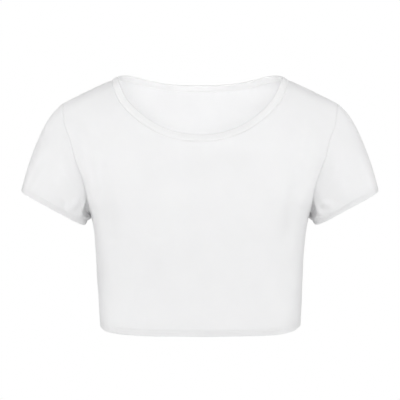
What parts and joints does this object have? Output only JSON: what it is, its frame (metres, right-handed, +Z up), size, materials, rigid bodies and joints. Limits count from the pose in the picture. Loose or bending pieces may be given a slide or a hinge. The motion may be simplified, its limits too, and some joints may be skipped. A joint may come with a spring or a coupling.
{
  "type": "crop top",
  "caption": "Short-sleeved cropped T-shirt in plain cotton jersey with a wide bound scoop neck, standing hollow in its worn form.",
  "frame": {"origin": "midway between the two shoulders beside the neck, where the wearer's shoulders hold the garment up", "axes": "+Z up, +X to the wearer's left, the garment's front faces -Y"},
  "size_m": [0.535, 0.2151, 0.3735],
  "materials": {
    "jersey": "matt plain-knit cotton jersey, white",
    "binding": "matt cotton jersey, folded double, white",
    "thread": "white sewing thread"
  },
  "bodies": {
    "root": {"front": "jersey", "back": "jersey", "sleeve_left": "jersey", "sleeve_right": "jersey", "neckband": "binding"}
  },
  "joints": []
}
